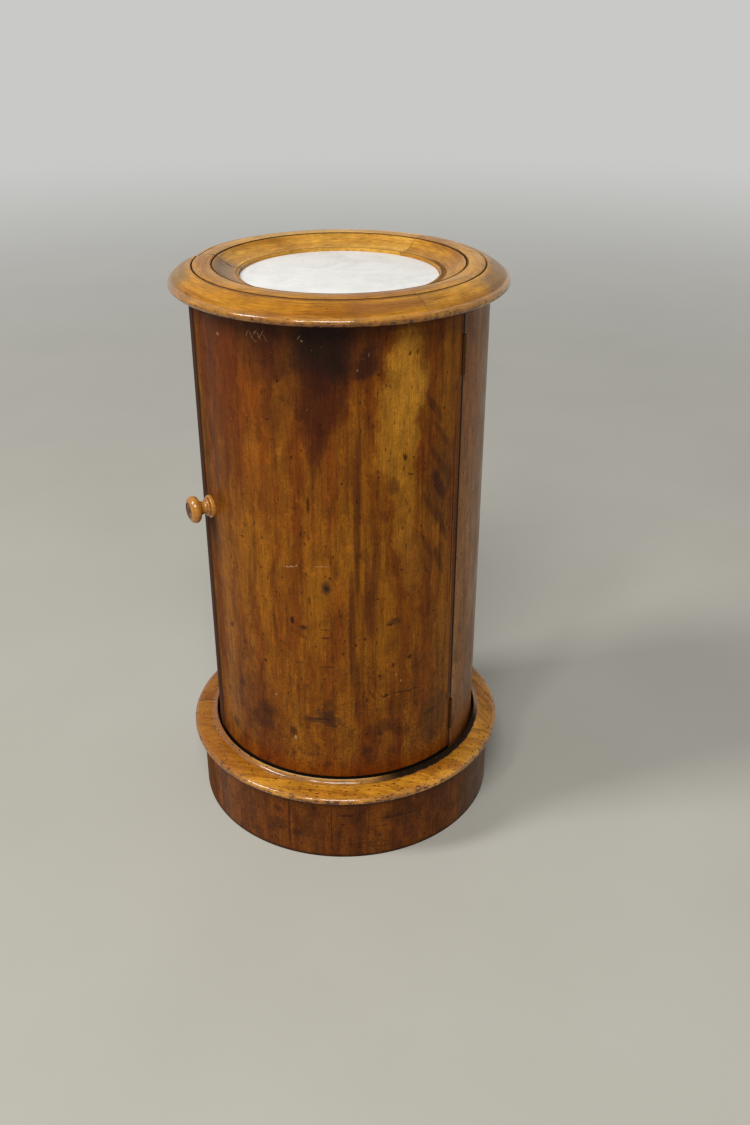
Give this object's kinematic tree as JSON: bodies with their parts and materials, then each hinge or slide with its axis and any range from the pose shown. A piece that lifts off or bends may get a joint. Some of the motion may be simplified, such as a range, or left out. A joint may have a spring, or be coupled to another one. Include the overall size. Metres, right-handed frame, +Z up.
{
  "type": "bedside pot cupboard",
  "caption": "Round coopered bedside cupboard with curved hinged door, turn-knob latch, inset marble top and moulded drum plinth",
  "frame": {"origin": "centre of the round foot, on the floor", "axes": "+Z up through the centre of the marble; -Y out through the middle of the door; the hinges are on the +X side"},
  "size_m": [0.425, 0.425, 0.7298],
  "materials": {
    "core_wood": "bare softwood, aged",
    "body_veneer": "french polish, semi-gloss",
    "door_veneer": "french polish, semi-gloss",
    "drum_veneer": "french polish, semi-gloss",
    "lipping_wood": "french polish, semi-gloss",
    "moulding_wood": "french polish, semi-gloss",
    "turned_wood": "french polish, gloss",
    "marble": "honed",
    "brass": "tarnished",
    "iron": "dull, dark"
  },
  "bodies": {
    "carcass": {"top_board": "core_wood", "floor_board": "core_wood", "shelf": "core_wood", "marble_disc": "marble", "hinge_jamb": "core_wood", "closing_jamb": "core_wood", "body_veneer": "body_veneer", "lower_course": "core_wood", "upper_course": "core_wood", "drum_veneer": "drum_veneer", "glue_blocks": "core_wood", "top_screws": "iron", "floor_screws": "iron", "bearer_screws": "iron", "upper_jamb_leaf": "brass", "lower_jamb_leaf": "brass", "upper_hinge_pin": "brass", "lower_hinge_pin": "brass", "jamb_hinge_screws": "brass", "keeper_plate": "brass", "keeper_screws": "brass", "wall_stave_1": "core_wood", "wall_stave_2": "core_wood", "wall_stave_3": "core_wood", "wall_stave_4": "core_wood", "wall_stave_5": "core_wood", "wall_stave_6": "core_wood", "wall_stave_7": "core_wood", "wall_stave_8": "core_wood", "wall_stave_9": "core_wood", "ring_length_left": "moulding_wood", "ring_length_right": "moulding_wood", "ring_length_back": "moulding_wood", "cap_length_front": "moulding_wood", "cap_length_back": "moulding_wood", "cap_length_left": "moulding_wood", "shelf_bearer_right": "core_wood", "shelf_bearer_back": "core_wood", "shelf_bearer_left": "core_wood"},
    "door": {"door_hinge_stile": "core_wood", "door_closing_stile": "core_wood", "hinge_lipping": "lipping_wood", "closing_lipping": "lipping_wood", "door_veneer": "door_veneer", "upper_door_leaf": "brass", "lower_door_leaf": "brass", "door_hinge_screws": "brass", "latch_collar": "brass", "stop_pins": "brass", "knob_rose": "turned_wood", "door_stave_1": "core_wood", "door_stave_2": "core_wood", "door_stave_3": "core_wood", "door_stave_4": "core_wood", "door_stave_5": "core_wood"},
    "latch": {"knob": "turned_wood", "latch_spindle": "iron", "latch_tongue": "brass", "spindle_nut": "iron"}
  },
  "joints": [
    {"name": "door_hinge", "type": "hinge", "parent": "carcass", "child": "door", "pos_m": [0.1546, -0.08701, 0.4], "axis": [0, 0, 1], "range_deg": [0, 170]},
    {"name": "knob_turn", "type": "hinge", "parent": "door", "child": "latch", "pos_m": [-0.14354, -0.10357, 0.452], "axis": [-0.8109, -0.5851, 0], "range_deg": [0, 90]}
  ]
}
